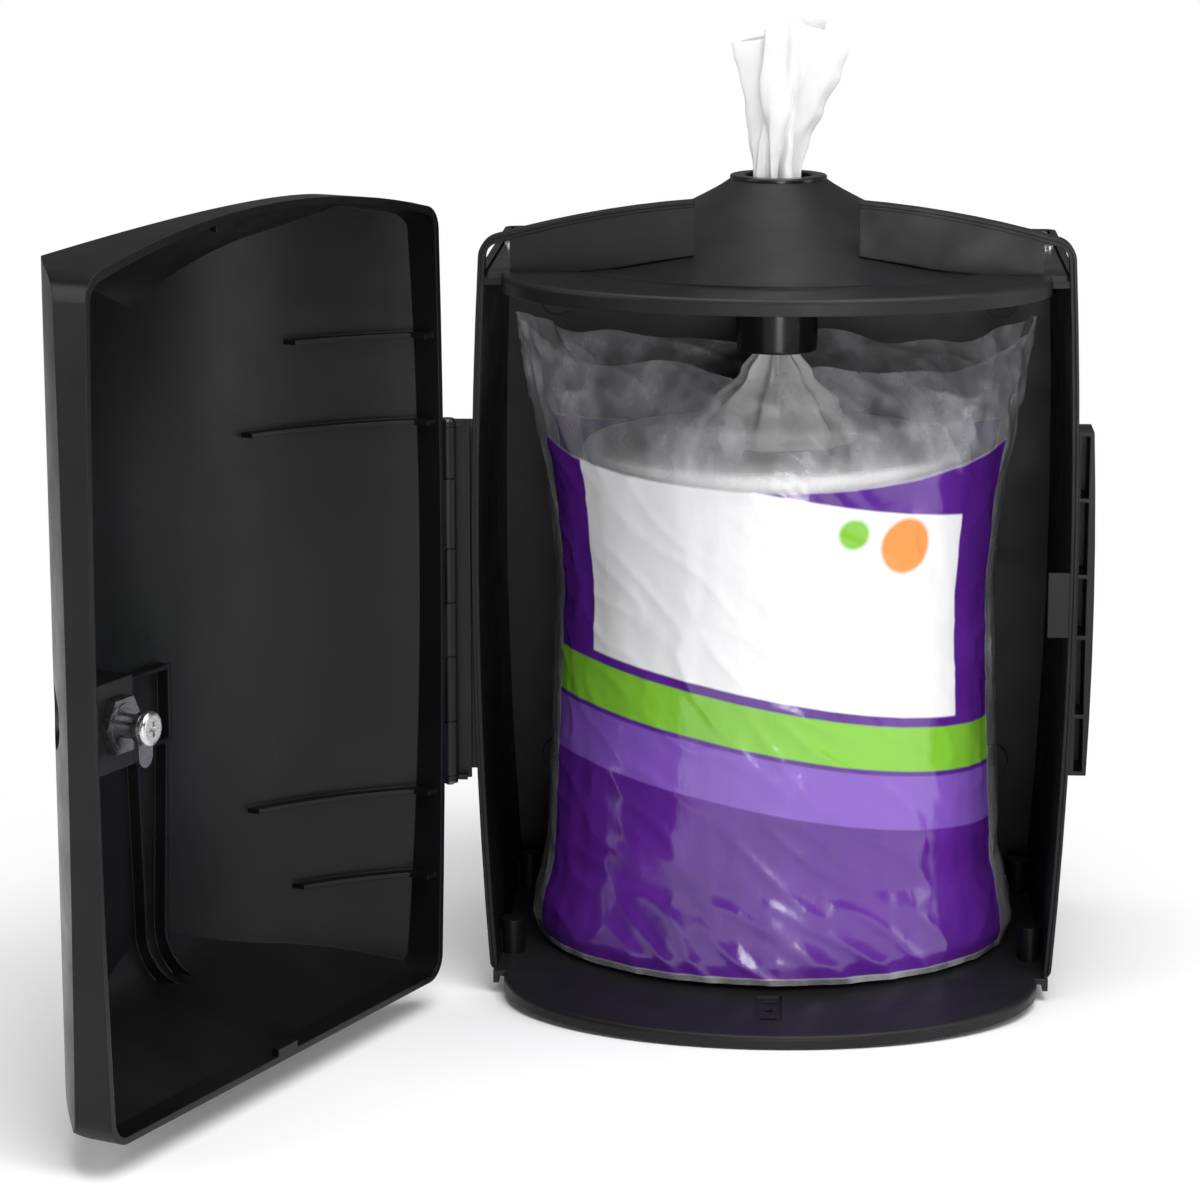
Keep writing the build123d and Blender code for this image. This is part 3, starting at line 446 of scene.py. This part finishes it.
# height, half width and half depth
bagShape = [
    (-0.1515, 0.0960, 0.0835),
    (-0.1440, 0.0985, 0.0838),
    (-0.1340, 0.0975, 0.0825),
    (-0.1150, 0.0930, 0.0812),
    (-0.0600, 0.0905, 0.0808),
    (0.0000, 0.0885, 0.0806),
    (0.0400, 0.0925, 0.0804),
    (0.0560, 0.0955, 0.0795),
    (0.0720, 0.0985, 0.0720),
    (0.1016, 0.1030, 0.0480),
]
# fields of colour on the film, in metres across and up; a spot is centre and radius; the darker violet
# is painted shade in the film's creases
fields = {
    "film": (0.8, 0.8, 0.84), "violetCreaseShade": (0.075, 0.012, 0.205), "violet": (0.115, 0.02, 0.29),
    "lilac": (0.2, 0.085, 0.46), "lilacUp": (-0.082, -0.06),
    "green": (0.2, 0.5, 0.035), "greenUp": (-0.058, -0.04), "greenSpot": (0.03, 0.03, 0.006),
    "orange": (0.85, 0.25, 0.03), "orangeSpot": (0.052, 0.024, 0.011),
    "panel": (0.82, 0.82, 0.84), "panelAcross": (-0.08, 0.08), "panelUp": (-0.036, 0.046),
    "inkAcross": (-0.108, 0.108), "inkBowed": (-0.165, 0.047), "inkUp": (-0.149, 0.2),
    "inkSolid": 0.97, "bow": 1.1, "waves": 14.0, "waveHeight": 0.014,
}


def bagMaterial():
    material, tree, shader, spot = startMaterial("bagFilm")
    flat = addNode(tree, "ShaderNodeUVMap", uv_map="flat")
    split = addNode(tree, "ShaderNodeSeparateXYZ")
    tree.links.new(flat.outputs["UV"], split.inputs["Vector"])

    def combine(operation, first, second):
        return mathNode(tree, operation, first, second)

    def band(value, low, high, soft=0.0006):
        rise = mapValue(tree, value, low - soft, low + soft, 0.0, 1.0, True)
        fall = mapValue(tree, value, high - soft, high + soft, 1.0, 0.0, True)
        return combine("MULTIPLY", rise, fall)

    # the back half carries the same fields as the front half
    raw = combine("SUBTRACT", split.outputs["X"], 0.5)
    behind = combine("LESS_THAN", raw, -0.25 * bag["round"])
    across = combine("ADD", raw, combine("MULTIPLY", behind, 0.5 * bag["round"]))
    up = combine("SUBTRACT", split.outputs["Y"], 0.5)
    swing = mathNode(tree, "SINE", combine("MULTIPLY", across, fields["waves"]))
    rippled = combine("ADD", up, combine("MULTIPLY", swing, fields["waveHeight"]))

    def disc(x, z, radius):
        awayX = combine("POWER", combine("SUBTRACT", across, x), 2.0)
        awayZ = combine("POWER", combine("SUBTRACT", up, z), 2.0)
        away = mathNode(tree, "SQRT", combine("ADD", awayX, awayZ))
        return mapValue(tree, away, radius - 0.001, radius + 0.001, 1.0, 0.0)

    crease = noiseAt(tree, spot, bag["crease"], 3.0)
    # the violet print turns darker in the hollows of the crease bumps: painted shade in the creases
    creaseShadeShare = mapValue(tree, crease, 0.3, 0.7)
    panel = combine("MULTIPLY", band(across, *fields["panelAcross"]), band(rippled, *fields["panelUp"]))
    colour = mixColour(tree, creaseShadeShare, fields["violetCreaseShade"], fields["violet"])
    for share, tone in (
        (band(rippled, *fields["lilacUp"]), "lilac"),
        (band(rippled, *fields["greenUp"]), "green"),
        (panel, "panel"),
        (disc(*fields["orangeSpot"]), "orange"),
        (disc(*fields["greenSpot"]), "green"),
    ):
        colour = mixColour(tree, share, colour, fields[tone])

    bowed = combine("MULTIPLY", combine("MULTIPLY", across, across), fields["bow"])
    tall = band(combine("SUBTRACT", up, bowed), *fields["inkBowed"], 0.001)
    inked = combine("MULTIPLY", tall, band(up, *fields["inkUp"]))
    inked = combine("MULTIPLY", inked, band(across, *fields["inkAcross"], 0.001))
    tree.links.new(mixColour(tree, inked, fields["film"], colour), shader.inputs["Base Color"])

    wrinkle = noiseAt(tree, spot, bag["wrinkle"], 4.0, 0.55, (1.0, 1.0, 0.45))
    clear = mapValue(tree, wrinkle, 0.4, 0.8, *bag["clear"])
    solid = combine("ADD", combine("MULTIPLY", inked, fields["inkSolid"]), clear)
    tree.links.new(mapValue(tree, solid, 0.0, 1.0), shader.inputs["Alpha"])
    rough = mapValue(tree, crease, 0.3, 0.7, *bag["rough"])
    tree.links.new(rough, shader.inputs["Roughness"])
    addBump(tree, shader, [(wrinkle, 0.5, bag["wrinkleDepth"]), (crease, 0.5, bag["creaseDepth"])])
    shader.inputs["Coat Weight"].default_value = bag["coat"]
    shader.inputs["Coat Roughness"].default_value = bag["coatRoughness"]
    return material


def bagHeight(i):
    return bag["low"] + (bag["high"] - bag["low"]) * i / bag["rows"]


def bagHalves(z):
    for (z0, x0, y0), (z1, x1, y1) in zip(bagShape, bagShape[1:]):
        if z <= z1:
            t = (z - z0) / (z1 - z0)
            return x0 + (x1 - x0) * t, y0 + (y1 - y0) * t
    return bagShape[-1][1:]


def bagFlat(i, j):
    return 0.5 + bag["round"] * (j / bag["around"] - 0.75), bagHeight(i) + 0.5


bagRows = []
for i in range(bag["rows"] + 1):
    z = bagHeight(i)
    halfX, halfY = bagHalves(z)
    topLoose = ramp(z, bag["topLooseFrom"], bag["topLooseOver"])
    footLoose = ramp(-z, bag["footLooseFrom"], bag["footLooseOver"])
    loose = bag["slack"] + 0.75 * topLoose + 0.15 * footLoose
    inner = bag["rollClear"] if z < bag["rollTop"] else 0.0
    row = []
    for j in range(bag["around"]):
        angle = 2 * math.pi * j / bag["around"]
        c, s = math.cos(angle), math.sin(angle)
        broad = noise.noise(Vector((2.2 * c + 0.6, 2.2 * s, z * 11.0)))
        ridge = 1 - abs(noise.noise(Vector((5.0 * c + 3.0 * z * 20, 5.0 * s, z * 24.0)))) * 2
        pleat = noise.noise(Vector((11.0 * c, 11.0 * s, z * 9.0 + 5.0)))
        out = loose * (0.0018 * broad + 0.0022 * ridge * ridge + 0.0014 * pleat) + bag["stand"]
        x = halfX * c + out * c
        y = halfY * s + out * s
        away = math.hypot(x, y)
        if away < inner:
            x, y = x * inner / away, y * inner / away
        y = min(y, bag["backLimit"])
        lift = 0.0
        if z > bag["mouthFrom"]:
            pull = abs(c) ** 6
            dip = 0.5 + 0.5 * noise.noise(Vector((3.5 * c + 9.0, 3.5 * s, 1.0)))
            drop = bag["mouthDrop"] + bag["mouthDip"] * dip
            mouth = ((z - bag["mouthFrom"]) / bag["mouthOver"]) ** 1.5
            lift = mouth * (bag["mouthRise"] * pull - (1 - pull) * drop)
        row.append(Vector((x, rollY + y, z + lift)))
    bagRows.append(row)
bagPiece = gridObject("bag_film", bagRows, True, bagMaterial(), bagFlat)
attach(bagPiece, "case")
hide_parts("refill_bag")

view = {"place": (0.012757, -1.68989, 0.336202), "pitch": 0.2143, "yaw": 0.0526, "lens": 119.85}
cameraData = bpy.data.cameras.new("camera")
cameraData.lens = view["lens"]
cameraData.sensor_width = 36
camera = bpy.data.objects.new("camera", cameraData)
bpy.context.scene.collection.objects.link(camera)
camera.location = view["place"]
camera.rotation_euler = (math.pi / 2 - view["pitch"], 0.0, view["yaw"])
bpy.context.scene.camera = camera

# lamps: place, aim, width, height and power
lamps = {
    "keyLight": ((0.5, -1.0, 1.5), (0, -0.1, 0), 1.2, 0.9, 23),
    "leftLight": ((-1.5, -0.9, 0.7), (-0.1, -0.2, 0), 0.8, 1.4, 13),
    "rightLight": ((1.5, -0.5, 0.5), (0, -0.1, 0), 0.7, 1.4, 8),
    "frontLight": ((0.25, -1.9, 0.1), (0, -0.1, 0.03), 0.5, 0.5, 9),
    "topLight": ((-0.1, -0.2, 1.6), (0, -0.15, 0), 1.2, 1.0, 16),
}
for name, (place, aim, width, height, power) in lamps.items():
    data = bpy.data.lights.new(name, "AREA")
    data.shape = "RECTANGLE"
    data.size = width
    data.size_y = height
    data.energy = power
    lamp = bpy.data.objects.new(name, data)
    bpy.context.scene.collection.objects.link(lamp)
    lamp.location = place
    lamp.rotation_euler = (Vector(aim) - Vector(place)).to_track_quat("-Z", "Y").to_euler()

# grey light all round, and white where the camera looks straight at it
studio = {"light": (0.62, 0.62, 0.63, 1), "strength": 0.24, "white": (1, 1, 1, 1)}
world = bpy.data.worlds.new("studio")
world.use_nodes = True
bpy.context.scene.world = world
worldTree = world.node_tree
background = worldTree.nodes["Background"]
setInputs(background, {"Color": studio["light"], "Strength": studio["strength"]})
whiteField = addNode(worldTree, "ShaderNodeBackground")
setInputs(whiteField, {"Color": studio["white"], "Strength": 1.0})
rays = addNode(worldTree, "ShaderNodeLightPath")
mixShaders(worldTree, rays.outputs["Is Camera Ray"], background.outputs["Background"],
           whiteField.outputs["Background"], "World Output")

# pale floor just under the object, white for the camera beyond the shadows
floor = {
    "dark": (0.93, 0.93, 0.93), "light": (0.96, 0.96, 0.96), "cloud": 3.0, "rough": 0.7,
    "specular": 0.1, "middle": (-0.06, -0.2), "shadowEnds": (0.26, 0.46), "below": 0.0006,
    "across": (-4.0, -1.0, 1.0, 4.0), "along": (-3.0, -1.0, 1.0, 5.0),
}
floorLow = min(corner[2] for corner in sizes["atStart"])
floorMaterial, floorTree, floorShader, floorSpot = startMaterial("paleFloor")
floorCloud = noiseAt(floorTree, floorSpot, floor["cloud"])
floorTint = mixColour(floorTree, floorCloud, floor["dark"], floor["light"])
floorTree.links.new(floorTint, floorShader.inputs["Base Color"])
floorShader.inputs["Roughness"].default_value = floor["rough"]
floorShader.inputs["Specular IOR Level"].default_value = floor["specular"]
floorGlow = addNode(floorTree, "ShaderNodeEmission")
setInputs(floorGlow, {"Color": studio["white"], "Strength": 1.0})
floorAway = addNode(floorTree, "ShaderNodeVectorMath", operation="DISTANCE")
floorAway.inputs[1].default_value = (*floor["middle"], floorLow)
floorTree.links.new(floorSpot, floorAway.inputs[0])
floorFar = mapValue(floorTree, floorAway.outputs["Value"], *floor["shadowEnds"], 0.0, 1.0, True)
floorRays = addNode(floorTree, "ShaderNodeLightPath")
floorShare = mathNode(floorTree, "MULTIPLY", floorFar, floorRays.outputs["Is Camera Ray"])
mixShaders(floorTree, floorShare, floorShader.outputs["BSDF"],
           floorGlow.outputs["Emission"], "Material Output")
floorZ = floorLow - floor["below"]
floorRows = [[Vector((x, y, floorZ)) for x in floor["across"]] for y in floor["along"]]
gridObject("floor", floorRows, False, floorMaterial)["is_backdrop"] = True

# a dark square just behind each of the four holes, painted shade that makes the holes look dark; clear
# when looked at from behind
wall = {
    "dark": (0.01, 0.01, 0.01), "light": (0.02, 0.02, 0.02), "cloud": 30.0, "rough": 0.9,
    "holeX": 0.094, "holeZ": 0.1, "behind": 0.0004, "half": 0.006,
}
holeShadeMaterial, holeShadeTree, holeShadeShader, holeShadeSpot = startMaterial("paintedShadeInHoles")
holeShadeCloud = noiseAt(holeShadeTree, holeShadeSpot, wall["cloud"])
holeShadeTint = mixColour(holeShadeTree, holeShadeCloud, wall["dark"], wall["light"])
holeShadeTree.links.new(holeShadeTint, holeShadeShader.inputs["Base Color"])
holeShadeShader.inputs["Roughness"].default_value = wall["rough"]
holeShadeSide = addNode(holeShadeTree, "ShaderNodeNewGeometry")
holeShadeClear = addNode(holeShadeTree, "ShaderNodeBsdfTransparent")
mixShaders(holeShadeTree, holeShadeSide.outputs["Backfacing"], holeShadeShader.outputs["BSDF"],
           holeShadeClear.outputs["BSDF"], "Material Output")
# one square of painted shade behind each hole
for index, (sideX, sideZ) in enumerate(((-1, -1), (-1, 1), (1, -1), (1, 1))):
    middle = Vector((sideX * wall["holeX"], wall["behind"], sideZ * wall["holeZ"]))
    ends = (-wall["half"], wall["half"])
    corners = [[middle + Vector((dx, 0, dz)) for dx in ends] for dz in ends]
    gridObject(f"painted_shade_in_hole_{index}", corners, False, holeShadeMaterial)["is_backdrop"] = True

bpy.context.scene.view_settings.view_transform = "Standard"
print("light and camera done")

sizes["atEnd"] = [list(corner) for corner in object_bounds()]
